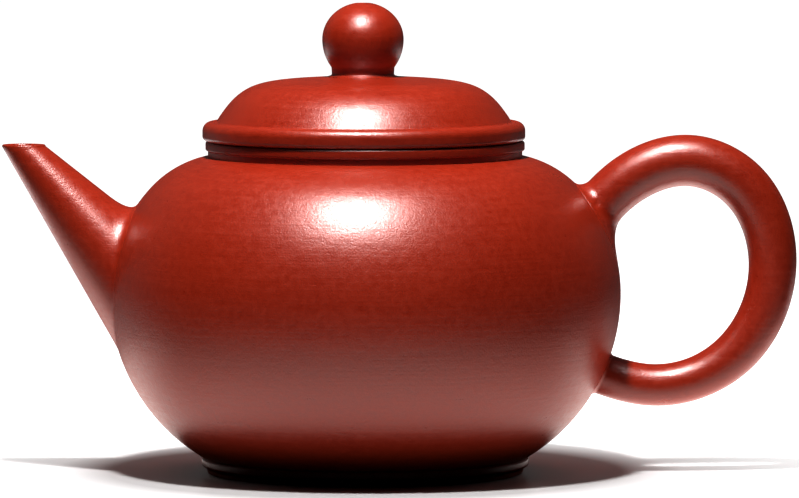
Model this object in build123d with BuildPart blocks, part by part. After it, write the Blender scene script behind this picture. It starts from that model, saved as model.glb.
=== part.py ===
from build123d import *

import os
from math import acos, asin, cos, degrees, radians, sin, tan

os.makedirs("parts", exist_ok=True)

# A small round teapot of unglazed clay, in millimetres.
# Z is the axis of the pot and the foot stands on Z = 0.
# The spout points to -X and the handle to +X.

# Body, outside
belly_r = 41.85           # widest radius
belly_z = 29.4            # height of the widest line
lower_arc_r = 31.2        # curve of the wall under the widest line
upper_arc_r = 25.4        # curve of the wall above it
upper_arc_end = 42.7      # degrees above level, where the wall turns quicker
shoulder_arc_r = 17.1     # curve of the turn into the shoulder
shoulder_arc_end = 63.4   # degrees above level, where the shoulder runs straight
wall = 2.6                # wall of the pot
base_z = 2.6              # underside of the base
base_top_z = base_z + wall
shoulder_joint_z = 48.2   # where the domed top disc is luted to the wall

# Foot
foot_r = 25.9             # just above the table
foot_edge = 0.45          # rounding of its lower edges
foot_bead_r = 26.8
foot_inner_r = 22.6

# Neck and mouth
mouth_r = 22.4            # opening
neck_r = 26.0
land_z = 51.9             # flat on the shoulder that carries the neck
neck_top_z = 52.5
neck_groove_r = 25.5
mouth_bead_r = 26.1
mouth_bead_top_z = 53.7
seat_r = 25.0
seat_z = 54.0             # face that the lid rests on

# Lid
seat_gap = 0.05
collar_gap = 0.3          # play of the lid's collar in the mouth
collar_r = mouth_r - collar_gap
collar_wall = 2.2
collar_depth = 7.0
plate_r = 24.9
plate_bottom_z = seat_z + seat_gap
plate_top_z = 56.3
rim_bead_r = 26.4
rim_bead_low_z = 54.4
rim_bead_high_z = 57.45
dome_foot_r = 23.6        # where the cap leaves the bead
dome_foot_z = 58.35
dome_top_r = 5.6          # where the cap meets the knob
dome_top_z = 64.85
dome_wall = 2.3
vent_r = 0.9              # steam vent through the knob

# Knob
knob_r = 6.65
knob_mid_z = 70.95
knob_up = 6.0             # height of its upper half
knob_down = 7.2           # depth of its lower half, if it were whole
knob_waist_r = 5.15
knob_foot_r = 5.6

cut_size = 60             # larger than any cut needs

# Spout: a straight tapered tube with a level lip
spout_apex = (-65.2, 63.7)   # where its upper and lower edges would meet, X and Z
spout_drop = 49.35           # degrees that its axis falls towards the pot
spout_half_angle = 11.05     # taper seen from the side
spout_lip_s = 13.2           # from the apex to the lip, along the axis
spout_lip_half_y = 2.9
spout_spread = 0.25          # widening to each side for each mm of length
spout_rim = 0.75             # wall at the lip
spout_wall_growth = 0.042    # how fast that wall thickens towards the pot
lip_z = 53.75
spout_from_s = 6.0
spout_to_s = 55.0

# Pierced dome behind the spout
strainer_centre = (-36.6, 0, 32.6)
strainer_r = 10.4
strainer_wall = 1.3
strainer_hole_r = 0.85
strainer_rings = ((0, 1), (23, 6), (46, 12))   # degrees off the middle, holes

# Handle: centre line from its upper root to its lower root, X and Z
handle_line = (
    (35.2, 39.7),
    (41.5, 46.8),
    (53.2, 51.1),
    (61.6, 47.3),
    (66.45, 37.6),
    (65.8, 28.2),
    (60.8, 19.7),
    (53.2, 15.1),
    (46.5, 14.3),
    (36.0, 17.2),
)
# Half thickness of the coil at shares of its length
handle_half = (
    (0.0, 6.6),
    (0.022, 5.3),
    (0.05, 4.3),
    (0.08, 4.02),
    (0.16, 4.15),
    (0.28, 4.2),
    (0.42, 4.08),
    (0.56, 3.85),
    (0.7, 3.65),
    (0.82, 3.45),
    (0.92, 3.4),
    (1.0, 3.9),
)


def polar(centre, radius, angle):
    """Point at an angle round a centre, in the plane of the half section."""
    return (
        centre[0] + radius * cos(radians(angle)),
        centre[1] + radius * sin(radians(angle)),
    )


def body_face(depth):
    """Half section of the round body, at a depth under its outer skin."""
    low_centre = (belly_r - lower_arc_r, belly_z)
    low_r = lower_arc_r - depth
    floor_z = base_z + depth
    low_angle = -degrees(asin((belly_z - floor_z) / low_r))
    up_centre = (belly_r - upper_arc_r, belly_z)
    turn = polar(up_centre, upper_arc_r, upper_arc_end)
    top_centre = polar(turn, -shoulder_arc_r, upper_arc_end)
    top_r = shoulder_arc_r - depth
    shoulder_start = polar(top_centre, top_r, shoulder_arc_end)
    rise = (shoulder_start[0] - neck_r) / tan(radians(shoulder_arc_end))
    shoulder_end = (neck_r, shoulder_start[1] + rise)
    floor_start = polar(low_centre, low_r, low_angle)
    with BuildSketch(Plane.XZ) as face:
        with BuildLine():
            CenterArc(low_centre, low_r, low_angle, -low_angle)
            CenterArc(up_centre, upper_arc_r - depth, 0, upper_arc_end)
            CenterArc(top_centre, top_r, upper_arc_end, shoulder_arc_end - upper_arc_end)
            Line(shoulder_start, shoulder_end)
            Line(shoulder_end, (0, shoulder_end[1]))
            Line((0, shoulder_end[1]), (0, floor_z))
            Line((0, floor_z), floor_start)
        make_face()
    return face.sketch


def level_band(z_low, z_high):
    """Half section of everything between two heights."""
    with BuildSketch(Plane.XZ) as band:
        with Locations((0, z_low)):
            Rectangle(cut_size, z_high - z_low, align=(Align.MIN, Align.MIN))
    return band.sketch


def spout_plane(s):
    """Plane across the spout's axis, s from the apex."""
    fall = radians(spout_drop)
    origin = (spout_apex[0] + s * cos(fall), 0, spout_apex[1] - s * sin(fall))
    return Plane(origin=origin, x_dir=(0, 1, 0), z_dir=(cos(fall), 0, -sin(fall)))


def spout_half_sizes(s, depth):
    """Half width and half height of the spout, at a depth under its skin."""
    half_y = spout_lip_half_y + spout_spread * (s - spout_lip_s)
    half_up = s * tan(radians(spout_half_angle))
    return half_y - depth, half_up - depth


def spout_wall(s):
    """Wall of the spout, which thickens from the lip to the pot."""
    return spout_rim + spout_wall_growth * (s - spout_lip_s)


# The body's outside and inside as plain solids, to fit other pieces to
with BuildPart() as body_outside:
    add(body_face(0))
    revolve(axis=Axis.Z)

with BuildPart() as body_inside:
    add(body_face(wall))
    revolve(axis=Axis.Z)

with BuildPart() as spout_bore:
    for station in (spout_lip_s - 4.0, spout_to_s):
        across = spout_half_sizes(station, spout_wall(station))
        with BuildSketch(spout_plane(station)):
            Ellipse(across[0], across[1])
    loft(ruled=True)

# Base: a round slab that closes the pot from below
with BuildPart() as base_disc:
    with BuildSketch(Plane.XZ):
        add(body_face(0))
        add(level_band(base_z, base_top_z), mode=Mode.INTERSECT)
    revolve(axis=Axis.Z)
base_disc.part.label = "base_disc"
export_step(base_disc.part, "parts/base_disc.step")

# Wall: the beaten band, with the hole that feeds the spout
with BuildPart() as belly_wall:
    with BuildSketch(Plane.XZ):
        add(body_face(0))
        add(body_face(wall), mode=Mode.SUBTRACT)
        add(level_band(base_top_z, shoulder_joint_z), mode=Mode.INTERSECT)
    revolve(axis=Axis.Z)
    add(spout_bore.part, mode=Mode.SUBTRACT)
belly_wall.part.label = "belly_wall"
export_step(belly_wall.part, "parts/belly_wall.step")

# Shoulder: a domed slab with the mouth cut out and a flat for the neck
with BuildPart() as shoulder_disc:
    with BuildSketch(Plane.XZ):
        add(body_face(0))
        add(body_face(wall), mode=Mode.SUBTRACT)
        add(level_band(shoulder_joint_z, seat_z), mode=Mode.INTERSECT)
    revolve(axis=Axis.Z)
    with Locations((0, 0, land_z)):
        Cylinder(neck_r, 5, align=(Align.CENTER, Align.CENTER, Align.MIN), mode=Mode.SUBTRACT)
    with Locations((0, 0, shoulder_joint_z)):
        Cylinder(mouth_r, 9, align=(Align.CENTER, Align.CENTER, Align.MIN), mode=Mode.SUBTRACT)
shoulder_disc.part.label = "shoulder_disc"
export_step(shoulder_disc.part, "parts/shoulder_disc.step")

# Neck: a low strip on the shoulder, grooved under the mouth line
with BuildPart() as neck_ring:
    with BuildSketch(Plane.XZ):
        with BuildLine():
            Polyline(
                (mouth_r, land_z),
                (neck_r, land_z),
                (neck_r, land_z + 0.25),
                (neck_groove_r, neck_top_z - 0.05),
                (neck_groove_r, neck_top_z),
                (mouth_r, neck_top_z),
                close=True,
            )
        make_face()
    revolve(axis=Axis.Z)
neck_ring.part.label = "neck_ring"
export_step(neck_ring.part, "parts/neck_ring.step")

# Mouth line: a rounded strip with the flat seat of the lid on top
with BuildPart() as mouth_ring:
    bead_mid_z = (neck_top_z + mouth_bead_top_z) / 2
    with BuildSketch(Plane.XZ):
        with BuildLine():
            Line((mouth_r, neck_top_z), (neck_groove_r, neck_top_z))
            ThreePointArc(
                (neck_groove_r, neck_top_z),
                (mouth_bead_r, bead_mid_z),
                (neck_groove_r, mouth_bead_top_z),
            )
            Line((neck_groove_r, mouth_bead_top_z), (seat_r, mouth_bead_top_z))
            Line((seat_r, mouth_bead_top_z), (seat_r, seat_z))
            Line((seat_r, seat_z), (mouth_r + 0.4, seat_z))
            Line((mouth_r + 0.4, seat_z), (mouth_r, seat_z - 0.4))
            Line((mouth_r, seat_z - 0.4), (mouth_r, neck_top_z))
        make_face()
    revolve(axis=Axis.Z)
mouth_ring.part.label = "mouth_ring"
export_step(mouth_ring.part, "parts/mouth_ring.step")

# Foot: a low ring with a soft bead where it meets the base
with BuildPart() as foot_ring:
    with BuildSketch(Plane.XZ):
        with BuildLine():
            Line((foot_inner_r, base_z), (foot_inner_r, foot_edge))
            Line((foot_inner_r, foot_edge), (foot_inner_r + foot_edge, 0))
            Line((foot_inner_r + foot_edge, 0), (foot_r - foot_edge, 0))
            CenterArc((foot_r - foot_edge, foot_edge), foot_edge, -90, 90)
            Line((foot_r, foot_edge), (foot_bead_r - 0.35, base_z / 2))
            ThreePointArc(
                (foot_bead_r - 0.35, base_z / 2),
                (foot_bead_r, base_z * 0.77),
                (foot_bead_r - 0.4, base_z),
            )
            Line((foot_bead_r - 0.4, base_z), (foot_inner_r, base_z))
        make_face()
    revolve(axis=Axis.Z)
foot_ring.part.label = "foot_ring"
export_step(foot_ring.part, "parts/foot_ring.step")

# Spout: luted onto the wall
with BuildPart() as spout:
    for station in (spout_from_s, spout_to_s):
        across = spout_half_sizes(station, 0)
        with BuildSketch(spout_plane(station)):
            Ellipse(across[0], across[1])
    loft(ruled=True)
    add(body_outside.part, mode=Mode.SUBTRACT)
    with Locations((spout_apex[0], 0, lip_z)):
        Box(
            cut_size,
            cut_size,
            cut_size,
            align=(Align.CENTER, Align.CENTER, Align.MIN),
            mode=Mode.SUBTRACT,
        )
    add(spout_bore.part, mode=Mode.SUBTRACT)
spout.part.label = "spout"
export_step(spout.part, "parts/spout.step")

# Strainer: half a hollow ball inside the wall, pierced in rings
with BuildPart() as spout_strainer:
    with Locations(strainer_centre):
        Sphere(strainer_r)
        Sphere(strainer_r - strainer_wall, mode=Mode.SUBTRACT)
    add(body_inside.part, mode=Mode.INTERSECT)
    for tilt, count in strainer_rings:
        for number in range(count):
            turn = 360 * number / count
            pose = Location(strainer_centre) * Rotation(turn, 0, 0) * Rotation(0, 90 - tilt, 0)
            with Locations(pose):
                Cylinder(
                    strainer_hole_r,
                    strainer_r + 2,
                    align=(Align.CENTER, Align.CENTER, Align.MIN),
                    mode=Mode.SUBTRACT,
                )
spout_strainer.part.label = "spout_strainer"
export_step(spout_strainer.part, "parts/spout_strainer.step")

# Handle: a round tapered coil bent to a loop and luted at both roots
with BuildPart() as handle:
    with BuildLine(Plane.XZ) as centre_line:
        Spline(*handle_line)
    curve = centre_line.line.edges()[0]
    for share, half in handle_half:
        across = Plane(origin=curve @ share, z_dir=curve % share)
        with BuildSketch(across):
            Circle(half)
    loft()
    add(body_outside.part, mode=Mode.SUBTRACT)
handle.part.label = "handle"
export_step(handle.part, "parts/handle.step")

# Lid plate: the flat ring that rests on the mouth
with BuildPart() as lid_seat_plate:
    with BuildSketch(Plane.XZ):
        with BuildLine():
            Polyline(
                (collar_r - collar_wall, plate_bottom_z),
                (plate_r, plate_bottom_z),
                (plate_r, plate_top_z),
                (collar_r - collar_wall, plate_top_z),
                close=True,
            )
        make_face()
    revolve(axis=Axis.Z)
lid_seat_plate.part.label = "lid_seat_plate"
export_step(lid_seat_plate.part, "parts/lid_seat_plate.step")

# Lid collar: the wall that drops into the mouth
with BuildPart() as lid_collar:
    collar_in = collar_r - collar_wall
    collar_low_z = plate_bottom_z - collar_depth
    with BuildSketch(Plane.XZ):
        with BuildLine():
            Polyline(
                (collar_in, plate_bottom_z),
                (collar_r, plate_bottom_z),
                (collar_r, collar_low_z + 0.6),
                (collar_r - 0.6, collar_low_z),
                (collar_in + 0.4, collar_low_z),
                (collar_in, collar_low_z + 0.4),
                close=True,
            )
        make_face()
    revolve(axis=Axis.Z)
lid_collar.part.label = "lid_collar"
export_step(lid_collar.part, "parts/lid_collar.step")

# Lid line: a rounded strip round the edge of the lid
with BuildPart() as lid_rim_bead:
    flat_r = plate_r + 0.5
    with BuildSketch(Plane.XZ):
        with BuildLine():
            Line((plate_r, rim_bead_high_z), (plate_r, rim_bead_low_z))
            Line((plate_r, rim_bead_low_z), (flat_r, rim_bead_low_z))
            ThreePointArc(
                (flat_r, rim_bead_low_z),
                (rim_bead_r, (rim_bead_low_z + rim_bead_high_z) / 2),
                (flat_r, rim_bead_high_z),
            )
            Line((flat_r, rim_bead_high_z), (plate_r, rim_bead_high_z))
        make_face()
    revolve(axis=Axis.Z)
lid_rim_bead.part.label = "lid_rim_bead"
export_step(lid_rim_bead.part, "parts/lid_rim_bead.step")

# Lid cap: a hollow dome, flat on top and turning quickly at its edge
with BuildPart() as lid_dome:
    inner_foot_r = dome_foot_r - dome_wall + 0.3
    inner_top_z = dome_top_z - dome_wall
    with BuildSketch(Plane.XZ):
        with BuildLine():
            Line((inner_foot_r, plate_top_z), (plate_r, plate_top_z))
            Line((plate_r, plate_top_z), (plate_r, rim_bead_high_z - 0.1))
            ThreePointArc(
                (plate_r, rim_bead_high_z - 0.1),
                (dome_foot_r + 0.45, rim_bead_high_z + 0.2),
                (dome_foot_r, dome_foot_z),
            )
            Spline(
                (dome_foot_r, dome_foot_z),
                (21.7, 60.8),
                (18.9, 62.95),
                (14.9, 64.1),
                (dome_top_r, dome_top_z),
                tangents=((-0.55, 0.8), (-1, 0.04)),
            )
            Line((dome_top_r, dome_top_z), (vent_r, dome_top_z))
            Line((vent_r, dome_top_z), (vent_r, inner_top_z))
            Line((vent_r, inner_top_z), (dome_top_r, inner_top_z))
            Spline(
                (dome_top_r, inner_top_z),
                (14.2, 61.75),
                (17.6, 60.7),
                (19.8, 59.2),
                (inner_foot_r, plate_top_z),
                tangents=((1, -0.04), (0.2, -1)),
            )
        make_face()
    revolve(axis=Axis.Z)
lid_dome.part.label = "lid_dome"
export_step(lid_dome.part, "parts/lid_dome.step")

# Knob: a round bead with a waist, pierced by the steam vent
def knob_point(angle):
    """Point on the knob's outline, degrees above its widest line."""
    reach = knob_up if angle > 0 else knob_down
    return (knob_r * cos(radians(angle)), knob_mid_z + reach * sin(radians(angle)))


with BuildPart() as knob:
    waist_angle = -degrees(acos(knob_waist_r / knob_r))
    vent_angle = degrees(acos(vent_r / knob_r))
    waist = knob_point(waist_angle)
    crown = knob_point(vent_angle)
    with BuildSketch(Plane.XZ):
        with BuildLine():
            Line((vent_r, dome_top_z), (knob_foot_r, dome_top_z))
            ThreePointArc(
                (knob_foot_r, dome_top_z),
                (knob_waist_r - 0.05, (dome_top_z + waist[1]) / 2 + 0.1),
                waist,
            )
            Spline(waist, knob_point(waist_angle / 2), knob_point(0), tangents=((0.75, 1), (0, 1)))
            Spline(
                knob_point(0),
                knob_point(vent_angle / 3),
                knob_point(vent_angle * 2 / 3),
                crown,
                tangents=((0, 1), (-1, -0.12)),
            )
            Line(crown, (vent_r, dome_top_z))
        make_face()
    revolve(axis=Axis.Z)
knob.part.label = "knob"
export_step(knob.part, "parts/knob.step")
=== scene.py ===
# %% [markdown]
# # A small round clay teapot
#
# The pot is built by hand from slabs, strips and coils of fine red clay, burnished while it is leather
# hard and fired without a glaze. The frame holds its sizes, its lid's travel and its separate pieces.
# This lesson gives those pieces their fired skin: turned outlines for everything round, swept rings for
# the spout and the handle, and one clay built from noise.

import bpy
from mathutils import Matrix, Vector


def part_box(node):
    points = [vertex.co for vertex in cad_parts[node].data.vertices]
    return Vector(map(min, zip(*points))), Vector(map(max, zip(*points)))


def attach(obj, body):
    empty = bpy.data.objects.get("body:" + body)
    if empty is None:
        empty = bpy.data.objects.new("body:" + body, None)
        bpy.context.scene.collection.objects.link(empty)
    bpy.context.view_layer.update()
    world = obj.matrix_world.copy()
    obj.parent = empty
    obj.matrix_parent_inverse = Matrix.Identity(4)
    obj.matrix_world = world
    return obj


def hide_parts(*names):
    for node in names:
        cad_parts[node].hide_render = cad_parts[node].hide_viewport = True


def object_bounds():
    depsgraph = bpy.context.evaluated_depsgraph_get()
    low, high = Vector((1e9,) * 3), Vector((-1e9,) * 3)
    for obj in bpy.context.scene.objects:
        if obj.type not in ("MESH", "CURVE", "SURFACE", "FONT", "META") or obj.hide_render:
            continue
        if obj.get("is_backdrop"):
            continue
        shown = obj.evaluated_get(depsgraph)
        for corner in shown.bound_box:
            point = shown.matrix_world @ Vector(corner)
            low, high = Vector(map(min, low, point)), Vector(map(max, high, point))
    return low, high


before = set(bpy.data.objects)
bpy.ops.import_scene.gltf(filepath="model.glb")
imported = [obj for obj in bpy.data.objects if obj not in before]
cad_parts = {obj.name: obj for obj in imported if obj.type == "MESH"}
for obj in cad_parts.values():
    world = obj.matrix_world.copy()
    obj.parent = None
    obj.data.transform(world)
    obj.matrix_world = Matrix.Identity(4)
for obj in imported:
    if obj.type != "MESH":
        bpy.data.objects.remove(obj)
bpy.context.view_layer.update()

# %% [markdown]
# ## Working in millimetres
#
# A potter's rule is in millimetres and Blender's unit is the metre, so the outlines are written in
# millimetres and scaled once, when a mesh is made. Every round node of the frame is turned about Z, so
# its box already says its radius and its two heights.

# %% Sizes read from the frame
import math

import bmesh
import bpy
import numpy as np
from mathutils import Matrix, Vector

MM = 0.001  # one millimetre in metres
COLLAR_PLAY = 0.3  # room round the lid's collar


def round_size(node):
    """Outer radius, lowest and highest height of a round node, in millimetres."""
    low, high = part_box(node)
    return high.y / MM, low.z / MM, high.z / MM


belly_r = round_size("belly_wall")[0]
base_z, base_top_z = round_size("base_disc")[1:]
foot_bead_r = round_size("foot_ring")[0]
neck_r, land_z, neck_top_z = round_size("neck_ring")
mouth_r_out, _, seat_z = round_size("mouth_ring")
collar_r, collar_low_z, plate_low_z = round_size("lid_collar")
plate_r, _, plate_top_z = round_size("lid_seat_plate")
lid_line_r, lid_line_low_z, lid_line_top_z = round_size("lid_rim_bead")
knob_r, dome_top_z, knob_top_z = round_size("knob")
mouth_r = collar_r + COLLAR_PLAY
wall = base_top_z - base_z
print("belly radius %.2f mm, wall %.2f mm, knob radius %.2f mm" % (belly_r, wall, knob_r))

# %% [markdown]
# ## Outlines
#
# A turned piece is a flat outline spun about the axis. Fired clay has no knife edges, so each corner
# carries a rounding and is replaced with a short curve. Long curves are added as arcs. All of them are
# lists of (radius, height).

# %% Arcs and rounded corners


def arc(centre, radius, start, end, steps):
    """Points on an arc, with angles in degrees above level."""
    angles = np.radians(np.linspace(start, end, steps + 1))
    return [(centre[0] + radius * math.cos(a), centre[1] + radius * math.sin(a)) for a in angles]


def rounded(corners, steps=6):
    """A closed outline through corners (radius, height, rounding)."""
    line = []
    for i, (r, z, rounding) in enumerate(corners):
        here = np.array((r, z))
        back = np.array(corners[i - 1][:2]) - here
        ahead = np.array(corners[(i + 1) % len(corners)][:2]) - here
        if rounding <= 0:
            line.append((r, z))
            continue
        back_length, ahead_length = np.linalg.norm(back), np.linalg.norm(ahead)
        cosine = np.clip(back @ ahead / back_length / ahead_length, -0.999, 0.999)
        reach = rounding / math.tan(math.acos(cosine) / 2)
        reach = min(reach, 0.49 * back_length, 0.49 * ahead_length)
        first = here + back / back_length * reach
        last = here + ahead / ahead_length * reach
        for t in np.linspace(0, 1, steps + 1):
            point = (1 - t) ** 2 * first + 2 * t * (1 - t) * here + t * t * last
            line.append(tuple(point))
    return line


quarter = arc((0, 0), 1, 0, 90, 2)
print("a quarter arc in two steps:", [(round(r, 2), round(z, 2)) for r, z in quarter])

# %% [markdown]
# ## Smooth curves
#
# The handle's bend and the lid's slope are drawn through a few measured points. A natural cubic curve
# passes through all of them with the least bending, as a thin springy strip does on a drawing board.

# %% A curve through a few points


def smooth_curve(points, count):
    """Evenly spread points on a natural cubic curve through a few points."""
    points = np.array(points, float)
    knots = np.concatenate(([0], np.cumsum(np.linalg.norm(np.diff(points, axis=0), axis=1))))
    n = len(points)
    step = np.diff(knots)
    matrix, right = np.eye(n), np.zeros_like(points)
    for i in range(1, n - 1):
        matrix[i, i - 1 : i + 2] = step[i - 1], 2 * (step[i - 1] + step[i]), step[i]
        slope_ahead = (points[i + 1] - points[i]) / step[i]
        slope_back = (points[i] - points[i - 1]) / step[i - 1]
        right[i] = 6 * (slope_ahead - slope_back)
    bend = np.linalg.solve(matrix, right)
    out = []
    for t in np.linspace(0, knots[-1], count):
        i = min(np.searchsorted(knots, t, side="right") - 1, n - 2)
        a, b = knots[i + 1] - t, t - knots[i]
        h = step[i]
        out.append(
            (bend[i] * a**3 + bend[i + 1] * b**3) / (6 * h)
            + (points[i] / h - bend[i] * h / 6) * a
            + (points[i + 1] / h - bend[i + 1] * h / 6) * b
        )
    return np.array(out)


print("middle of a curve through three points:", smooth_curve([(0, 0), (1, 1), (2, 0)], 3)[1])


# %% [markdown]
# ## Meshes from points
#
# Every piece starts as a list of points in millimetres and a list of faces. Shading is smooth
# everywhere, and corners stay crisp because they have their own small curves. Points that fall together,
# as on the axis, are welded, and all faces are made to look out of the clay.

# %% A mesh from points
WELD = 1e-7  # metres


def new_piece(name, verts, faces):
    """A smooth mesh object from points in millimetres."""
    mesh = bpy.data.meshes.new(name)
    mesh.from_pydata([tuple(np.array(v) * MM) for v in verts], [], faces)
    mesh.polygons.foreach_set("use_smooth", [True] * len(mesh.polygons))
    mesh.update()
    piece = bpy.data.objects.new(name, mesh)
    bpy.context.collection.objects.link(piece)
    return piece


def outward(piece):
    """Turns all faces of a closed piece to point out of the clay."""
    shape = bmesh.new()
    shape.from_mesh(piece.data)
    bmesh.ops.remove_doubles(shape, verts=shape.verts, dist=WELD)
    bmesh.ops.recalc_face_normals(shape, faces=shape.faces)
    shape.to_mesh(piece.data)
    shape.free()
    return piece


print("points closer than", WELD, "m are welded")

# %% [markdown]
# ## Rings and turned pieces
#
# `ringed` joins a row of rings with quads, for coils that are not round about Z. `turned` makes its rings
# by spinning a closed outline, as a potter's turntable does under a template.

# %% Rings and turned pieces
TURN_STEPS = 240


def ringed(name, rings, loop=False):
    """A mesh through rings of equal count. With loop, the last ring joins the first."""
    rings = np.array(rings)
    rows, count = rings.shape[:2]
    faces = []
    for i in range(rows if loop else rows - 1):
        a, b = i * count, (i + 1) % rows * count
        for j in range(count):
            k = (j + 1) % count
            faces.append((a + j, a + k, b + k, b + j))
    return outward(new_piece(name, rings.reshape(-1, 3), faces))


def turned(name, outline, steps=TURN_STEPS):
    """A closed outline of (radius, height) spun about Z."""
    turn = np.linspace(0, 2 * math.pi, steps, endpoint=False)
    rings = [
        np.column_stack((r * np.cos(turn), r * np.sin(turn), np.full(steps, z))) for r, z in outline
    ]
    return ringed(name, rings, loop=True)


print("a turned piece has", TURN_STEPS, "strips round the axis")


# %% [markdown]
# ## The body's curves
#
# The wall is beaten out from a cylinder, and its outline is two long arcs with a quicker turn into the
# shoulder. The same curve at a depth of one wall is the inside. From the shoulder to the neck the line
# runs straight inside, and outside it settles a little where the shoulder slab sinks under the neck
# strip. The rest of the pot is fitted to this outline, so it comes first and is kept as `skin`.

# %% The body's half outline
belly_z = 29.4
lower_arc_r = 31.2
upper_arc_r = 25.4
upper_arc_end = 42.7
shoulder_arc_r = 17.1
shoulder_arc_end = 63.4
NECK_STEPS = (0.2, 0.4, 0.6, 0.8, 1)
neck_settle = 0.15
neck_foot_z = land_z - neck_settle


def body_line(depth, steps):
    """Points from the base up to the neck, at a depth under the outer skin."""
    low_centre = (belly_r - lower_arc_r, belly_z)
    low_r = lower_arc_r - depth
    low_angle = -math.degrees(math.asin((belly_z - base_z - depth) / low_r))
    up_centre = (belly_r - upper_arc_r, belly_z)
    turn = arc(up_centre, upper_arc_r, upper_arc_end, upper_arc_end, 0)[0]
    top_centre = arc(turn, -shoulder_arc_r, upper_arc_end, upper_arc_end, 0)[0]
    line = arc(low_centre, low_r, low_angle, 0, steps)
    line += arc(up_centre, upper_arc_r - depth, 0, upper_arc_end, steps)[1:]
    top_r = shoulder_arc_r - depth
    line += arc(top_centre, top_r, upper_arc_end, shoulder_arc_end, steps // 2)[1:]
    r, z = line[-1]
    rise = (r - neck_r) / math.tan(math.radians(shoulder_arc_end))
    settle = z + rise - neck_foot_z if depth == 0 else 0
    line += [(r + t * (neck_r - r), z + t * rise - t * t * settle) for t in NECK_STEPS]
    return line


skin = np.array(body_line(0, steps=400))
print("body outline from z %.1f to %.1f mm" % (skin[0, 1], skin[-1, 1]))

# %% [markdown]
# ## Distance to the skin
#
# The spout and the handle are luted on while the clay is soft, and the potter draws a little slip along
# each joint with a bamboo tool. To lay such a fillet, the script must know how far a point is from the
# body's skin and which way the skin faces there.

# %% Gap and facing
skin_along = np.gradient(skin, axis=0)
skin_along /= np.linalg.norm(skin_along, axis=1)[:, None]
skin_facing = np.column_stack((skin_along[:, 1], -skin_along[:, 0]))


def skin_gap(point):
    """Distance outside the skin and the skin's facing there, for one point."""
    r = math.hypot(point[0], point[1])
    nearest = np.argmin(np.hypot(skin[:, 0] - r, skin[:, 1] - point[2]))
    facing = skin_facing[nearest]
    gap = (np.array((r, point[2])) - skin[nearest]) @ facing
    return gap, np.array((facing[0] * point[0] / r, facing[0] * point[1] / r, facing[1]))


def onto_skin(point, sink=0.0):
    """The nearest point of the skin, sunk a little into the clay."""
    gap, facing = skin_gap(point)
    return point - facing * (gap + sink)


print("a point 1 mm off the belly is %.2f mm off the skin" % skin_gap((belly_r + 1, 0, belly_z))[0])


# %% [markdown]
# ## Where a line enters the body
#
# A coil or a tube is described by `place(t, turn)`: a point at share t of its run, at an angle round it.
# The line at one angle starts outside the body and ends inside it. Halving the stretch again and again
# finds the place where it goes in.

# %% Entry into the body
HALVINGS = 34


def entry(place, turn, outside, inside):
    """How far along its run a line enters the body."""
    for _ in range(HALVINGS):
        middle = (outside + inside) / 2
        if skin_gap(place(middle, turn))[0] > 0:
            outside = middle
        else:
            inside = middle
    return outside


print("each entry takes", HALVINGS, "halvings")

# %% [markdown]
# ## Luted roots
#
# From a little before the entry to a little beyond it on the skin the script lays a short curve, the
# drawn slip. It leaves along the coil and lands along the skin, so it is smooth at both ends. `soft`
# says how wide the slip is at each angle, because it is wide in the hollow of a joint and thin where the
# real joint is a sharp line. A last ring goes just under the skin, so that no gap can show.

# %% Slip round a root
SLIP_STEPS = 10
SLIP_SUNK = 0.05
SMALL_SHARE = 0.005  # of the run, for measuring a line's direction


def luted_rings(place, outside, inside, soft, count, step=0.0, spread=1.0):
    """Rings of slip from the coil to the skin, and how far along each line they start.

    spread is the share of the slip's width that lies on the body. step is the height that the tool
    leaves at its edge. Lengths are in mm.
    """
    turns = np.linspace(0, 2 * math.pi, count, endpoint=False)
    crossings = [entry(place, turn, outside, inside) for turn in turns]
    meets = [place(cross, turn) for cross, turn in zip(crossings, turns)]
    middle = np.mean(meets, axis=0)
    small = (inside - outside) * SMALL_SHARE
    rings = [[] for _ in range(SLIP_STEPS + 1)]
    starts = []
    for cross, meet, turn in zip(crossings, meets, turns):
        per_mm = abs(small) / np.linalg.norm(place(cross - small, turn) - meet)
        back = cross - math.copysign(soft(turn) * per_mm, small)
        start = place(back, turn)
        leave = place(back + small, turn) - start
        facing = skin_gap(meet)[1]
        away = meet - middle
        away -= facing * (away @ facing)
        away /= np.linalg.norm(away)
        end = onto_skin(meet + away * soft(turn) * spread, -step)
        chord = np.linalg.norm(end - start)
        leave *= chord / np.linalg.norm(leave)
        facing = skin_gap(end)[1]
        land = away - facing * (away @ facing)
        land *= chord / np.linalg.norm(land)
        for i, t in enumerate(np.linspace(0, 1, SLIP_STEPS)):
            rings[i].append(
                (2 * t**3 - 3 * t**2 + 1) * start
                + (t**3 - 2 * t**2 + t) * leave
                + (3 * t**2 - 2 * t**3) * end
                + (t**3 - t**2) * land
            )
        rings[SLIP_STEPS].append(onto_skin(end, SLIP_SUNK))
        starts.append(back)
    return rings, starts


print("a root's slip has", SLIP_STEPS + 1, "rings")

# %% [markdown]
# ## Small helpers for nodes
#
# A material is a tree of nodes. These helpers make one node each: any node at a place in the editor, a
# value moved from one range to another, a sum of two values, and noise measured in features per metre.

# %% Node helpers


def node(tree, kind, x, y, **settings):
    """A shader node at a place in the editor, with its settings."""
    made = tree.nodes.new(kind)
    made.location = x, y
    for key, value in settings.items():
        setattr(made, key, value)
    return made


def mapped(tree, source, low, high, to_low, to_high, x, y):
    """A value rescaled from one range to another."""
    made = node(tree, "ShaderNodeMapRange", x, y)
    tree.links.new(source, made.inputs["Value"])
    for key, value in zip(("From Min", "From Max", "To Min", "To Max"), (low, high, to_low, to_high)):
        made.inputs[key].default_value = value
    return made.outputs["Result"]


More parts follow.
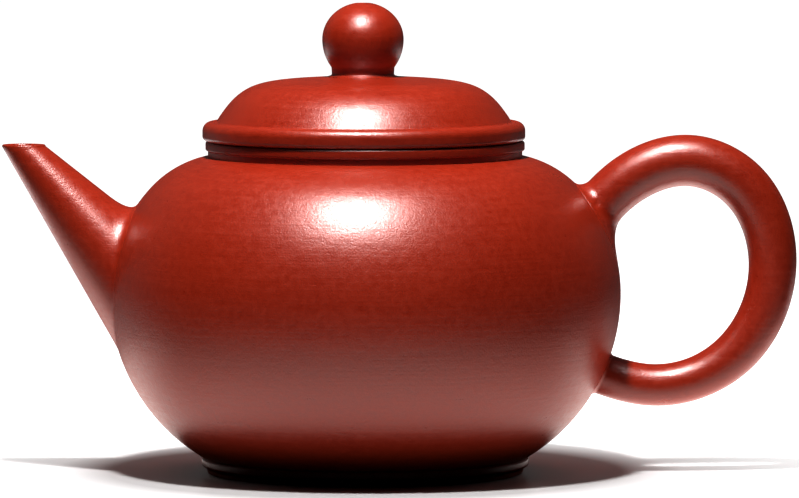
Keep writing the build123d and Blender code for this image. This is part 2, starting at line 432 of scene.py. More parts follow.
def joined(tree, how, a, b, x, y):
    """Two values put together by one sum."""
    made = node(tree, "ShaderNodeMath", x, y, operation=how)
    for socket, value in zip(made.inputs, (a, b)):
        if isinstance(value, (int, float)):
            socket.default_value = value
        else:
            tree.links.new(value, socket)
    return made.outputs["Value"]


def noise(tree, where, scale, detail, x, y, roughness=0.5):
    """Noise in object space. The scale is in features per metre."""
    made = node(tree, "ShaderNodeTexNoise", x, y)
    tree.links.new(where, made.inputs["Vector"])
    made.inputs["Scale"].default_value = scale
    made.inputs["Detail"].default_value = detail
    made.inputs["Roughness"].default_value = roughness
    return made.outputs["Fac"]


print("node helpers:", node.__name__, mapped.__name__, joined.__name__, noise.__name__)

# %% [markdown]
# ## The fired clay
#
# Fine red clay fires to a deep vermilion. Three things make it look like clay and not like plastic: a
# grain of tiny crystals that breaks up every highlight, faint level streaks from burnishing on a
# turntable, and a colour that drifts between orange and oxblood. Edges are rubbed paler and smoother by
# hands, and hollows are made rougher and darkened with painted shade. Edges and hollows are found from
# the mesh's pointiness, the rest comes from noise in the object's own space.

# %% One clay from noise
DRIFT, MOTTLE, GRAIN, STREAK = 45, 900, 3400, 2600  # features per metre
LEVEL_STRETCH = (0.03, 0.03, 1.0)  # draws the streaks out sideways
NOISE_RANGE = (0.3, 0.7)  # where most of a noise lies
TONE_SHARES = (0.16, 0.10, 0.08)  # how much mottle, grain and streak move the colour
SHINE = 0.95


def clay(name, deep, bright, roughness, grain_depth, streak_depth, rub):
    """One fired clay. deep and bright bound its colour, rub is how far edges are polished."""
    made = bpy.data.materials.new(name)
    made.use_nodes = True
    tree = made.node_tree
    tree.nodes.clear()
    where = node(tree, "ShaderNodeTexCoord", -1800, 0).outputs["Object"]
    flat = node(tree, "ShaderNodeMapping", -1600, -500)
    flat.inputs["Scale"].default_value = LEVEL_STRETCH
    tree.links.new(where, flat.inputs["Vector"])
    drift = noise(tree, where, DRIFT, 3, -1400, 400)
    mottle = noise(tree, where, MOTTLE, 4, -1400, 200, 0.65)
    grain = noise(tree, where, GRAIN, 2, -1400, 0, 0.6)
    streak = noise(tree, flat.outputs["Vector"], STREAK, 3, -1400, -400, 0.6)
    edge = node(tree, "ShaderNodeNewGeometry", -1400, -700).outputs["Pointiness"]
    worn = mapped(tree, edge, 0.52, 0.62, 0, 1, -1200, -700)
    # painted shade: hollows found by pointiness get a darker colour below, and are also made rougher
    hollow = mapped(tree, edge, 0.48, 0.40, 0, 1, -1200, -900)

    tone = joined(tree, "MULTIPLY_ADD", drift, 0.5, -1150, 400)
    for i, (source, share) in enumerate(zip((mottle, grain, streak), TONE_SHARES)):
        shift = mapped(tree, source, *NOISE_RANGE, -share, share, -1150, 250 - 150 * i)
        tone = joined(tree, "ADD", tone, shift, -1000 + 150 * i, 350)
    paler = joined(tree, "MULTIPLY", worn, rub, -900, -700)
    tone = joined(tree, "ADD", tone, paler, -550, 350)
    # painted shade: the colour is darkened in hollows, where shade would fall
    painted_hollow_shade = joined(tree, "MULTIPLY", hollow, 0.5, -900, -900)
    tone = joined(tree, "SUBTRACT", tone, painted_hollow_shade, -400, 350)
    ramp = node(tree, "ShaderNodeValToRGB", -250, 350)
    ramp.color_ramp.elements[0].position = 0.1
    ramp.color_ramp.elements[0].color = (*deep, 1)
    ramp.color_ramp.elements[1].position = 0.9
    ramp.color_ramp.elements[1].color = (*bright, 1)
    tree.links.new(tone, ramp.inputs["Fac"])

    rough = mapped(tree, mottle, *NOISE_RANGE, roughness - 0.04, roughness + 0.05, -700, 0)
    along = mapped(tree, streak, *NOISE_RANGE, -0.03, 0.03, -700, -150)
    rough = joined(tree, "ADD", rough, along, -550, 0)
    smoother = joined(tree, "MULTIPLY", worn, rub * 0.3, -700, -300)
    rough = joined(tree, "SUBTRACT", rough, smoother, -400, 0)
    rougher = joined(tree, "MULTIPLY", hollow, 0.15, -550, -300)
    rough = joined(tree, "ADD", rough, rougher, -250, 0)

    heights = ((grain, grain_depth), (mottle, grain_depth * 1.5), (streak, streak_depth))
    facing = None
    for i, (height, depth) in enumerate(heights):
        bump = node(tree, "ShaderNodeBump", -400 + 200 * i, -500)
        bump.inputs["Distance"].default_value = depth * MM
        tree.links.new(height, bump.inputs["Height"])
        if facing is not None:
            tree.links.new(facing, bump.inputs["Normal"])
        facing = bump.outputs["Normal"]

    shader = node(tree, "ShaderNodeBsdfPrincipled", 200, 200)
    shader.inputs["Specular IOR Level"].default_value = SHINE
    tree.links.new(ramp.outputs["Color"], shader.inputs["Base Color"])
    tree.links.new(rough, shader.inputs["Roughness"])
    tree.links.new(facing, shader.inputs["Normal"])
    out = node(tree, "ShaderNodeOutputMaterial", 500, 200)
    tree.links.new(shader.outputs["BSDF"], out.inputs["Surface"])
    return made


print("grain of about %.1f mm" % (1000 / GRAIN))

# %% [markdown]
# ## Burnished and raw
#
# The outside is rubbed with a horn tool until it shines. The strainer inside the pot and the lid's collar
# can't be reached with the tool, so they stay matte, coarser and a little paler. The depths are in
# millimetres.

# %% Two finishes of one clay
burnished = clay(
    "burnished_clay",
    deep=(0.235, 0.0152, 0.0042),
    bright=(0.36, 0.034, 0.0095),
    roughness=0.33,
    grain_depth=0.028,
    streak_depth=0.02,
    rub=0.25,
)
raw = clay(
    "raw_clay",
    deep=(0.26, 0.026, 0.012),
    bright=(0.40, 0.060, 0.028),
    roughness=0.68,
    grain_depth=0.07,
    streak_depth=0.05,
    rub=0.1,
)
print("materials", burnished.name, raw.name)

# %% [markdown]
# ## Putting a piece in its place
#
# Every piece is fired clay on one of two bodies, the pot or the lid. The nodes of the frame that it
# stands for are hidden. The lid and its knob are set by hand, so they may lie a hair to one side.

# %% Finish for a piece


def finish_piece(piece, body, material, slot, *nodes, aside=0.0):
    """Gives a piece its clay and its body, and hides the nodes it stands for. slot is not used. aside is
    in mm.
    """
    piece.data.transform(Matrix.Translation((aside * MM, 0, 0)))
    piece.data.materials.clear()
    piece.data.materials.append(material)
    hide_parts(*nodes)
    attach(piece, body)
    print(piece.name, len(piece.data.polygons), "faces on", body)


print("nodes waiting for their looks:", len(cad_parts))


# %% [markdown]
# ## The spout's cone
#
# The spout is a straight cone with its point in the air beyond the lip, a little wider sideways than
# upwards. Its wall grows thicker towards the pot. Its shape comes before the pot's wall, because the hole
# in the wall follows the spout's bore.

# %% Spout shape
lip_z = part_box("spout")[1].z / MM
spout_apex = np.array((-65.2, 0.0, 63.7))
spout_drop = math.radians(49.35)
spout_half_angle = math.radians(11.05)
spout_lip_s = 13.2
spout_lip_half_y = 2.9
spout_spread = 0.25
spout_rim = 0.75
spout_wall_growth = 0.042
spout_along = np.array((math.cos(spout_drop), 0, -math.sin(spout_drop)))
spout_up = np.array((math.sin(spout_drop), 0, math.cos(spout_drop)))
spout_side = np.array((0.0, 1.0, 0.0))


def spout_place(s, turn, bore=False):
    """A point on the spout, s from its apex along the axis, on its skin or in its bore."""
    depth = spout_rim + spout_wall_growth * (s - spout_lip_s) if bore else 0
    half_y = spout_lip_half_y + spout_spread * (s - spout_lip_s) - depth
    half_up = s * math.tan(spout_half_angle) - depth
    across = spout_side * half_y * math.cos(turn) + spout_up * half_up * math.sin(turn)
    return spout_apex + spout_along * s + across


SPOUT_COUNT = 96
spout_turns = np.linspace(0, 2 * math.pi, SPOUT_COUNT, endpoint=False)
print("lip at z %.2f mm" % lip_z)

# %% [markdown]
# ## Pot wall
#
# Base, wall and shoulder are three slabs on the bench, but they are luted and burnished into one skin
# before firing, so no seam shows and they are made as one turned piece.

# %% Pot wall
WALL_TURN_STEPS = 320
base_rings = (0.0, 12.0, 20.0)
outer_line = body_line(0, steps=44)
inner_line = body_line(wall, steps=30)
wall_outline = (
    [(r, base_z) for r in base_rings]
    + outer_line
    + [(mouth_r, neck_foot_z), (mouth_r, inner_line[-1][1])]
    + inner_line[::-1]
    + [(r, base_top_z) for r in base_rings[::-1]]
)
pot_wall = turned("pot_wall", wall_outline, steps=WALL_TURN_STEPS)
print("wall outline of", len(wall_outline), "points")

# %% [markdown]
# ## Hole behind the spout
#
# The potter marks round the spout's root on the wall and cuts inside the mark. Here a plug with the shape
# of the spout's bore is taken away from the wall.

# %% Hole behind the spout
HOLE_STEPS = (30, 38, 46)  # along the spout's axis, from before the wall to behind it
hole_rings = [[spout_place(s, t, bore=True) for t in spout_turns] for s in HOLE_STEPS]
cutter = ringed("spout_hole", hole_rings)
shape = bmesh.new()
shape.from_mesh(cutter.data)
bmesh.ops.holes_fill(shape, edges=[e for e in shape.edges if e.is_boundary])
bmesh.ops.recalc_face_normals(shape, faces=shape.faces)
shape.to_mesh(cutter.data)
shape.free()
cut = pot_wall.modifiers.new("hole", "BOOLEAN")
cut.object = cutter
cut.operation = "DIFFERENCE"
cut.solver = "EXACT"
scene_now = bpy.context.evaluated_depsgraph_get()
cut_mesh = bpy.data.meshes.new_from_object(pot_wall.evaluated_get(scene_now))
pot_wall.modifiers.clear()
pot_wall.data = cut_mesh
bpy.data.objects.remove(cutter)
wall_nodes = ("base_disc", "belly_wall", "shoulder_disc")
finish_piece(pot_wall, "pot", burnished, "burnished_clay", *wall_nodes)

# %% [markdown]
# ## Foot
#
# The foot is a strip luted under the base and turned with a template, which leaves a soft bead next to
# the belly. Its inner edge is only wiped, so it is softer than the outer one.

# %% Foot
foot_inner_r = 22.6
foot_r = foot_bead_r - 0.9
foot_line = turned(
    "foot_line",
    rounded(
        [
            (foot_inner_r, base_z + 0.02, 0),
            (foot_inner_r, 0, 0.6),
            (foot_r, 0, 0.45),
            (foot_r + 0.05, 0.9, 0.6),
            (foot_bead_r, 1.2, 0.5),
            (foot_bead_r, base_z - 0.1, 0.5),
            (foot_bead_r - 0.75, base_z + 0.02, 0),
        ]
    ),
)
finish_piece(foot_line, "pot", burnished, "burnished_clay", "foot_ring")

# %% [markdown]
# ## Neck and mouth line
#
# A low strip stands on the shoulder and a rounded line runs over it. The potter cuts the strip back a
# little under the line with a horn tool, which leaves the dark band there. The top is flat, because the
# lid has to seal on it. Strip and line are luted and turned together, so they are one outline.

# %% Neck and mouth line
groove_r = neck_r - 0.3
groove_top_z = neck_top_z + 0.35
line_top_z = lid_line_low_z - 0.1
sunk_z = neck_foot_z - 0.25
mouth_line = turned(
    "mouth_line",
    rounded(
        [
            (mouth_r + 0.3, sunk_z, 0),
            (groove_r - 0.1, sunk_z, 0),
            (groove_r, neck_foot_z, 0),
            (groove_r, groove_top_z - 0.1, 0.1),
            (mouth_r_out, groove_top_z + 0.05, 0.3),
            (mouth_r_out, line_top_z, 0.6),
            (plate_r + 0.3, line_top_z, 0.1),
            (plate_r + 0.2, seat_z, 0.05),
            (mouth_r, seat_z, 0.5),
            (mouth_r, neck_foot_z - 0.05, 0),
        ]
    ),
)
finish_piece(mouth_line, "pot", burnished, "burnished_clay", "neck_ring", "mouth_ring")

# %% [markdown]
# ## Spout skin
#
# The spout is rolled from a slab round a wooden rod, straight along its run and cut level at the lip. Its
# root is flared with slip above, where a finger can smooth it, and kept tight below and at the sides.

# %% Spout skin
SPOUT_RINGS = 26
spout_low_s, spout_high_s = 5.0, 52.0
rim_round = 0.28
rim_start_z = lip_z - rim_round


def spout_soft(turn):
    """Width of the slip round the spout's root, widest above."""
    return 1.2 + 3.4 * max(0.0, math.sin(turn))


def spout_share(t, turn):
    """The spout's skin by share of its run, from the lip's side to the pot."""
    return spout_place(spout_low_s + t * (spout_high_s - spout_low_s), turn)


def level_s(turn, height, bore):
    """How far along the axis a line of the spout reaches a height."""
    low, high = spout_low_s, spout_high_s
    a, b = spout_place(low, turn, bore)[2], spout_place(high, turn, bore)[2]
    return low + (height - a) / (b - a) * (high - low)


root_slip, root_starts = luted_rings(
    spout_share, 0.25, 1.0, spout_soft, SPOUT_COUNT, spread=0.4
)
skin_rings = []
for t in np.linspace(0, 1, SPOUT_RINGS):
    ring = []
    for turn, start in zip(spout_turns, root_starts):
        top = level_s(turn, rim_start_z, False)
        root = spout_low_s + start * (spout_high_s - spout_low_s)
        ring.append(spout_place(top + t * (root - top), turn))
    skin_rings.append(ring)
skin_rings += root_slip[1:]
print("spout skin of", len(skin_rings), "rings")

# %% [markdown]
# ## Spout rim and bore
#
# The rim is rounded with a wet leather, so it runs over in a half circle from the skin to the bore. The
# bore follows the cone inside and ends where it goes into the body.

# %% Spout rim and bore
RIM_STEPS = 5
BORE_RINGS = 14


def bore_place(s, turn):
    """A point on the spout's bore, s from its apex along the axis."""
    return spout_place(s, turn, bore=True)


rim_out, rim_in = [], []
for share in np.linspace(0, 1, RIM_STEPS):
    ring_out, ring_in = [], []
    lift = np.array((0, 0, rim_round * math.sin(share * math.pi / 2)))
    inset = rim_round * (1 - math.cos(share * math.pi / 2))
    for turn in spout_turns:
        outer = spout_place(level_s(turn, rim_start_z, False), turn)
        inner = bore_place(level_s(turn, rim_start_z, True), turn)
        across = (inner - outer) / np.linalg.norm(inner - outer)
        ring_out.append(outer + across * inset + lift)
        ring_in.append(inner - across * inset + lift)
    rim_out.append(ring_out)
    rim_in.append(ring_in)
bore_rings = []
for t in np.linspace(0, 1, BORE_RINGS)[1:]:
    ring = []
    for turn in spout_turns:
        top = level_s(turn, rim_start_z, True)
        end = entry(bore_place, turn, top, spout_high_s)
        ring.append(bore_place(top + t * (end - top), turn))
    bore_rings.append(ring)
all_rings = skin_rings[::-1] + rim_out[1:] + rim_in[::-1] + bore_rings
spout_tube = ringed("spout_tube", all_rings, loop=True)
finish_piece(spout_tube, "pot", burnished, "burnished_clay", "spout")

# %% [markdown]
# ## Strainer
#
# Behind the spout sits a small hollow dome, pressed in a mould and pierced while soft. The frame's own
# solid has the right shape and all its holes, so it stays and only takes the unburnished clay.

# %% Strainer keeps its shape
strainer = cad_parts["spout_strainer"]
strainer.data.materials.clear()
strainer.data.materials.append(raw)
print("strainer keeps", len(strainer.data.polygons), "faces")

# %% [markdown]
# ## The handle's coil
#
# The handle is one coil, rolled thicker at the end that takes the weight and bent to a ring. It leaves
# the shoulder with a flare and comes back to the belly thinner. One table holds the places that its
# middle line passes, as (x, z), and one its half thickness by share of the run.

# %% Handle coil
HANDLE_COUNT = 72
HANDLE_STEPS = 600
handle_points = (
    (35.2, 39.7),
    (41.5, 46.8),
    (53.2, 51.1),
    (61.6, 47.3),
    (66.45, 37.6),
    (65.8, 28.2),
    (60.8, 19.7),
    (53.2, 15.1),
    (46.5, 14.3),
    (36.0, 17.2),
)
handle_half = (
    (0.0, 6.6),
    (0.022, 5.3),
    (0.05, 4.3),
    (0.08, 4.02),
    (0.16, 4.15),
    (0.28, 4.2),
    (0.42, 4.08),
    (0.56, 3.85),
    (0.7, 3.65),
    (0.82, 3.45),
    (0.92, 3.4),
    (1.0, 3.9),
)
centre = smooth_curve(handle_points, HANDLE_STEPS)
heading = np.gradient(centre, axis=0)
heading /= np.linalg.norm(heading, axis=1)[:, None]
thick = smooth_curve(handle_half, 200)


def handle_place(t, turn):
    """A point on the coil's skin at share t of its run."""
    at = t * (HANDLE_STEPS - 1)
    i = int(np.clip(at, 0, HANDLE_STEPS - 2))
    part = at - i
    x, z = centre[i] * (1 - part) + centre[i + 1] * part
    hx, hz = heading[i] * (1 - part) + heading[i + 1] * part
    half = np.interp(t, thick[:, 0], thick[:, 1])
    out = np.array((-hz, 0.0, hx)) * math.sin(turn) + np.array((0.0, 1.0, 0.0)) * math.cos(turn)
    return np.array((x, 0.0, z)) + out * half


print("the coil's middle line reaches x %.1f mm" % centre[:, 0].max())

# %% [markdown]
# ## Handle roots and mesh
#
# Both roots are luted like the spout's. The upper one carries a broad slip in the hollow under the coil,
# with a fine raised line at its edge where the tool ran. The lower one is only wiped. A cap under the
# body's skin closes the coil at each end, so the piece is solid.

# %% Handle
HANDLE_RINGS = 110
CAP_SUNK = 0.02
TOOL_LINE = 0.05
low_root_width = 0.6


def top_soft(turn):
    """Width of the slip at the upper root, widest under the coil."""
    return 2.0 + 2.6 * max(0.0, -math.sin(turn)) ** 2


def low_soft(turn):
    """Width of the slip at the lower root, the same all round."""
    return low_root_width


top_slip, top_starts = luted_rings(
    handle_place, 0.2, 0.0, top_soft, HANDLE_COUNT, step=TOOL_LINE, spread=0.75
)
low_slip, low_starts = luted_rings(handle_place, 0.85, 1.0, low_soft, HANDLE_COUNT)
handle_turns = np.linspace(0, 2 * math.pi, HANDLE_COUNT, endpoint=False)
handle_rings = top_slip[::-1]
for t in np.linspace(0, 1, HANDLE_RINGS)[1:-1]:
    ring = []
    for turn, first, last in zip(handle_turns, top_starts, low_starts):
        ring.append(handle_place(first + t * (last - first), turn))
    handle_rings.append(ring)
handle_rings += low_slip
for end in (0, -1):
    middle = onto_skin(np.mean(handle_rings[end], axis=0), CAP_SUNK)
    cap = [onto_skin((middle + p) / 2, CAP_SUNK) for p in handle_rings[end]]
    point = [middle] * HANDLE_COUNT
    handle_rings = [point, cap] + handle_rings if end == 0 else handle_rings + [cap, point]
handle_loop = ringed("handle_loop", handle_rings)
finish_piece(handle_loop, "pot", burnished, "burnished_clay", "handle")

# %% [markdown]
# ## Lid cap
#
# The lid is a hollow cap on a flat ring. From its edge it rises in a short hollow curve, turns quickly
# and runs almost flat to the knob. The cap and the ring are luted into one skin, so they are one outline.
# A vent goes through the middle, and the knob has the same hole.

# %% Lid cap
lid_aside = -0.2
knob_aside = -0.35
vent_r = 0.9
dome_wall = 2.3
dome_foot_r = 23.6
dome_foot_z = lid_line_top_z + 0.9
dome_curve = [
    (dome_foot_r, dome_foot_z),
    (21.7, 60.8),
    (18.9, 62.95),
    (14.9, 64.1),
    (10.0, 64.55),
    (5.6, dome_top_z),
]
dome_outside = [tuple(p) for p in smooth_curve(dome_curve, 44)]
dome_inside = [
    (21.6, plate_top_z),
    (19.8, 59.2),
    (17.6, 60.7),
    (14.2, 61.75),
    (5.6, dome_top_z - dome_wall),
]
dome_under = [tuple(p) for p in smooth_curve(dome_inside, 26)][::-1]
foot_curve = rounded(
    [
        (plate_r, plate_low_z, 0.12),
        (plate_r, lid_line_top_z - 0.25, 0.1),
        (dome_foot_r + 0.55, lid_line_top_z, 0.6),
        (dome_foot_r, dome_foot_z, 0),
    ]
)
collar_in_r = collar_r - 2.2
cap_outline = (
    foot_curve[:-1]
    + dome_outside
    + [(vent_r, dome_top_z), (vent_r, dome_top_z - dome_wall)]
    + dome_under
    + [(collar_in_r, plate_top_z), (collar_in_r, plate_low_z)]
)
lid_cap = turned("lid_cap", cap_outline)
cap_nodes = ("lid_dome", "lid_seat_plate")
finish_piece(lid_cap, "lid", burnished, "burnished_clay", *cap_nodes, aside=lid_aside)

# %% [markdown]
# ## Lid edge line
#
# A thin strip is luted round the lid's edge and rounded with a notched horn tool. Above it swells softly
# into the cap, and below it turns in with a tighter round, which shades the gap between lid and pot.

# %% Lid edge line
edge_r = plate_r - 0.1
edge_low_round = 0.75
edge_top_round = 1.3
edge_swell_z = 56.0
low_middle = (lid_line_r - edge_low_round, lid_line_low_z + edge_low_round)
edge_round = arc(low_middle, edge_low_round, -90, 0, 12)
for r, z in arc((0, 0), 1, 0, 90, 18):
    swell_r = lid_line_r - edge_top_round * (1 - r)
    edge_round.append((swell_r, edge_swell_z + (lid_line_top_z - edge_swell_z) * z))
edge_outline = [(edge_r, lid_line_low_z)] + edge_round + [(edge_r, lid_line_top_z)]
lid_edge = turned("lid_edge_line", edge_outline)
finish_piece(lid_edge, "lid", burnished, "burnished_clay", "lid_rim_bead", aside=lid_aside)

# %% [markdown]
# ## Lid collar
#
# A short wall under the lid drops into the mouth and keeps the lid in place while the pot is tilted. It
# is a strip bent to a ring, left raw, with its lower edge rounded so that it finds the mouth.

# %% Lid collar
collar = turned(
    "lid_collar_wall",
    rounded(
        [
            (collar_in_r, plate_low_z, 0),
            (collar_in_r, collar_low_z, 0.5),
            (collar_r, collar_low_z, 0.9),
            (collar_r, plate_low_z, 0),
        ]
    ),
)
finish_piece(collar, "lid", raw, "raw_clay", "lid_collar", aside=lid_aside)

# %% [markdown]
# ## Knob
#
# The knob is a ball of clay rolled in the palm, a little flattened above and drawn in below, and pierced
# with a needle so that air can enter while the pot pours. It sits on a thin smear of slip.

# %% Knob
KNOB_STEPS = 144
smear = ((5.75, -0.02), (5.6, 0.12), (5.2, 0.22), (5.08, 0.5))  # (radius, height over the cap)
knob_mid_z = 70.95
knob_up = knob_top_z - knob_mid_z + 0.06
knob_down = 7.2
knob_waist_r = 5.15
waist = math.degrees(math.acos(knob_waist_r / knob_r))
crown = math.degrees(math.acos((vent_r + 0.35) / knob_r))
knob_outline = [(vent_r, dome_top_z)] + [(r, dome_top_z + up) for r, up in smear]
for angle in np.radians(np.linspace(-waist, crown, 60)):
    reach = knob_up if angle > 0 else knob_down
    knob_outline.append((knob_r * math.cos(angle), knob_mid_z + reach * math.sin(angle)))
knob_outline += [(vent_r + 0.1, knob_top_z - 0.15), (vent_r, knob_top_z - 0.5)]
knob = turned("lid_knob", knob_outline, steps=KNOB_STEPS)
finish_piece(knob, "lid", burnished, "burnished_clay", "knob", aside=knob_aside)

# %% [markdown]
# ## Table
#
# The pot stands on a plain pale table, made of a disc under the pot and a wide ring round it. Both glow a
# little away from the pot, so that the table stays pale as far as the eye goes while the shadow close to
# the foot stays dark. Glow and gloss of the board are only for the eye. The clay sees another disc, made
# in the next step.

# %% Table
TABLE_NEAR_R = 0.14
TABLE_FAR_R = 6.0
BOARD_GREY = 0.88
BOARD_ROUGHNESS = 0.14
NEAR_GLOW = ((0.0, 0.0), (0.042, 0.0), (0.052, 0.5), (0.08, 0.9), (TABLE_NEAR_R, 1.0))
FAR_GLOW = ((0.0, 1.0), (TABLE_FAR_R, 1.0))
PINHOLE = 0.0001  # stands in for an inner radius of nothing


def disc_ring(name, inner, outer, steps=96):
    """A flat ring on the table's plane. Sizes are in metres."""
    verts, faces = [], []
    for r in (inner, outer):
        for i in range(steps):
            turn = 2 * math.pi * i / steps
            verts.append((r * math.cos(turn), r * math.sin(turn), 0))
    for i in range(steps):
        k = (i + 1) % steps
        faces.append((i, k, steps + k, steps + i))
    mesh = bpy.data.meshes.new(name)
    mesh.from_pydata(verts, [], faces)
    ring = bpy.data.objects.new(name, mesh)
    bpy.context.collection.objects.link(ring)
    ring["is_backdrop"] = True
    return ring


def radial(tree, steps, colour, x, y):
    """A colour by distance from the axis, through steps of (distance in metres, level)."""
    where = node(tree, "ShaderNodeTexCoord", x - 700, y).outputs["Object"]
    reach = node(tree, "ShaderNodeVectorMath", x - 500, y, operation="LENGTH")
    tree.links.new(where, reach.inputs[0])
    share = mapped(tree, reach.outputs["Value"], 0.0, steps[-1][0], 0, 1, x - 300, y)
    ramp = node(tree, "ShaderNodeValToRGB", x, y)
    tree.links.new(share, ramp.inputs["Fac"])
    while len(ramp.color_ramp.elements) < len(steps):
        ramp.color_ramp.elements.new(0.5)
    for stop, (r, level) in zip(ramp.color_ramp.elements, steps):
        stop.position = r / steps[-1][0]
        stop.color = (*(level * part for part in colour), 1)
    return ramp.outputs["Color"]


def board(name, glow_steps):
    """Pale board with a soft gloss. Its glow lifts what the lights don't reach."""
    made = bpy.data.materials.new(name)
    made.use_nodes = True
    tree = made.node_tree
    shader = tree.nodes["Principled BSDF"]
    shader.inputs["Base Color"].default_value = (BOARD_GREY, BOARD_GREY, BOARD_GREY, 1)
    shader.inputs["Roughness"].default_value = BOARD_ROUGHNESS
    shader.inputs["Emission Strength"].default_value = 1.0
    glow = radial(tree, glow_steps, (1, 1, 1), -300, -200)
    tree.links.new(glow, shader.inputs["Emission Color"])
    return made


near_table = disc_ring("table", PINHOLE, TABLE_NEAR_R)
near_table.data.materials.append(board("pale_board", NEAR_GLOW))
far_table = disc_ring("table_beyond", TABLE_NEAR_R, TABLE_FAR_R)
far_table.data.materials.append(board("pale_board_beyond", FAR_GLOW))
for part in (near_table, far_table):
    part.visible_glossy = False
    part.visible_diffuse = False
print("table of", TABLE_FAR_R, "m radius")

# %% [markdown]
# ## Light from the table
#
# A lit table throws light up on the pot and shows in the lower half of its belly. This disc does both,
# and the eye never sees it. It glows in a ring round the foot, tinted a little by the clay. In front of
# the pot it glows only steeply upwards, so the middle of the belly stays dark. Behind the pot it glows
# all ways, which gives the belly pale lower edges.

# %% Light from the table
LIT_STEPS = ((0.035, 0.0), (0.038, 0.85), (0.046, 1.0), (0.100, 0.9), (0.140, 0.0))
LIT_COLOUR = (1.0, 0.92, 0.88)
LIT_SUNK = -0.0001
lit_table = disc_ring("table_light", PINHOLE, LIT_STEPS[-1][0])
lit_table.location.z = LIT_SUNK
lit = bpy.data.materials.new("table_light")
lit.use_nodes = True
tree = lit.node_tree
tree.nodes.clear()
glow = node(tree, "ShaderNodeEmission", 50, 0)
surface = node(tree, "ShaderNodeNewGeometry", -900, 300)
seen_from = node(tree, "ShaderNodeSeparateXYZ", -700, 300)
tree.links.new(surface.outputs["Incoming"], seen_from.inputs["Vector"])
steep = mapped(tree, seen_from.outputs["Z"], 0.12, 0.7, 0, 1.75, -500, 300)
place = node(tree, "ShaderNodeSeparateXYZ", -700, 500)
tree.links.new(surface.outputs["Position"], place.inputs["Vector"])
rear = mapped(tree, place.outputs["Y"], -0.015, 0.02, 0, 1.4, -500, 500)
tree.links.new(joined(tree, "ADD", steep, rear, -300, 400), glow.inputs["Strength"])
tree.links.new(radial(tree, LIT_STEPS, LIT_COLOUR, -200, 0), glow.inputs["Color"])
lit_out = node(tree, "ShaderNodeOutputMaterial", 250, 0)
tree.links.new(glow.outputs["Emission"], lit_out.inputs["Surface"])
lit_table.data.materials.append(lit)
lit_table.visible_camera = False
lit_table.visible_shadow = False
print("the table's light ends at", LIT_STEPS[-1][0], "m")

# %% [markdown]
# ## Soft boxes
#
# A soft box does two jobs that are easier to set apart: it lights matt surfaces, and polished ones mirror
# it. The key hangs above and in front. What the clay mirrors is a bright box with a wide weak halo, and
# what casts the shadow is a small lamp close by. The overhead box and the two behind only fill.

# %% Lights
KEY_PLACE = (-0.03, -0.20, 0.50)
LAMP_PLACE = (-0.03, -0.17, 0.50)
MID_POT = (0, 0, 0.045)
LOW_POT = (0, 0, 0.04)


def soft_box(name, place, aim, size, watts, shows=True, lights=True):
    """An area light aimed at a point. shows: the clay mirrors it. lights: it lights matt surfaces."""
    data = bpy.data.lights.new(name, "AREA")
    data.shape = "RECTANGLE"
    data.size, data.size_y = size
    data.energy = watts
    light = bpy.data.objects.new(name, data)
    bpy.context.collection.objects.link(light)
    light.location = place
    light.rotation_euler = (Vector(aim) - Vector(place)).to_track_quat("-Z", "Y").to_euler()
    light.visible_glossy = shows
    light.visible_diffuse = lights
    return light


soft_box("key", KEY_PLACE, MID_POT, (0.15, 0.18), 4.1, lights=False)
soft_box("key_halo", KEY_PLACE, MID_POT, (0.36, 0.36), 1.7, lights=False)
soft_box("key_spread", LAMP_PLACE, MID_POT, (0.04, 0.04), 4.3, shows=False)
soft_box("overhead", (0.0, 0.0, 0.9), (0, 0, 0), (0.9, 0.9), 1.6, shows=False)
soft_box("back_left", (-0.6, 0.5, 0.35), LOW_POT, (0.4, 0.4), 0.8, shows=False)
soft_box("back_right", (0.6, 0.5, 0.35), LOW_POT, (0.4, 0.4), 0.8, shows=False)
print("lights:", sorted(light.name for light in bpy.data.lights))

# %% [markdown]
# ## World
#
# The clay mirrors a room that is bright only behind the pot and low down, dim behind it higher up, and
# dark on the viewer's side, so the belly goes dark in its middle and keeps pale edges. A weak glow on the
# left keeps the spout from going black. To the eye itself the world is plain white.

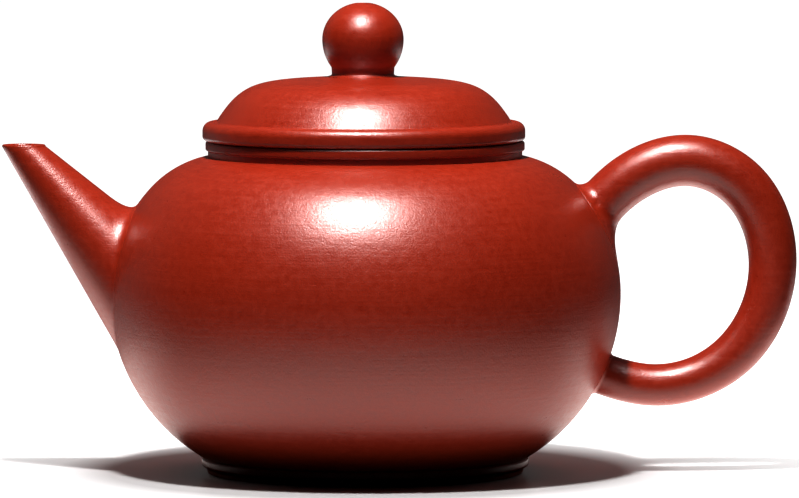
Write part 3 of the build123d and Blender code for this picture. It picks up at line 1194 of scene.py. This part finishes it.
# %% World
world = bpy.data.worlds.new("studio")
bpy.context.scene.world = world
world.use_nodes = True
tree = world.node_tree
tree.nodes.clear()
direction = node(tree, "ShaderNodeTexCoord", -1100, 0).outputs["Generated"]
parts = node(tree, "ShaderNodeSeparateXYZ", -900, 0)
tree.links.new(direction, parts.inputs["Vector"])
behind = mapped(tree, parts.outputs["Y"], 0.1, 0.75, 0.02, 1.0, -700, 0)
level = mapped(tree, parts.outputs["Z"], -0.3, -0.12, 2.6, 0.08, -700, -200)
left = mapped(tree, parts.outputs["X"], -0.2, -0.9, 0.0, 0.12, -700, -400)
level = joined(tree, "ADD", level, left, -500, -200)
level = joined(tree, "MULTIPLY", behind, level, -350, -100)
seen = node(tree, "ShaderNodeLightPath", -500, 300).outputs["Is Camera Ray"]
strength = node(tree, "ShaderNodeMix", -150, 100)
tree.links.new(seen, strength.inputs["Factor"])
tree.links.new(level, strength.inputs["A"])
strength.inputs["B"].default_value = 1.0
background = node(tree, "ShaderNodeBackground", 50, 0)
background.inputs["Color"].default_value = (1, 1, 1, 1)
tree.links.new(strength.outputs["Result"], background.inputs["Strength"])
world_out = node(tree, "ShaderNodeOutputWorld", 250, 0)
tree.links.new(background.outputs["Background"], world_out.inputs["Surface"])
print("world", world.name)

# %% [markdown]
# ## Camera
#
# The eye is a little over a metre away and looks slightly down on the pot, straight from the side, so
# spout and handle lie in one line. The lens is chosen so that the pot fills the view from spout to
# handle. A gamma under one makes the dark clay richer.

# %% Camera
EYE_DISTANCE = 1.19
EYE_HEIGHT = 0.1205
AIM_HEIGHT = 0.0366
VIEW_MARGIN = 1.006
low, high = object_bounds()
view_width = (high.x - low.x) * VIEW_MARGIN
camera_data = bpy.data.cameras.new("camera")
camera = bpy.data.objects.new("camera", camera_data)
bpy.context.collection.objects.link(camera)
aim = Vector(((low.x + high.x) / 2, 0, AIM_HEIGHT))
camera.location = (aim.x, -EYE_DISTANCE, EYE_HEIGHT)
camera.rotation_euler = (aim - camera.location).to_track_quat("-Z", "Y").to_euler()
camera_data.sensor_width = 36.0
camera_data.lens = camera_data.sensor_width * (aim - camera.location).length / view_width
camera_data.clip_start = 0.05
bpy.context.scene.camera = camera
bpy.context.scene.view_settings.view_transform = "Standard"
bpy.context.scene.view_settings.gamma = 0.75
print("camera lens %.0f mm" % camera_data.lens)
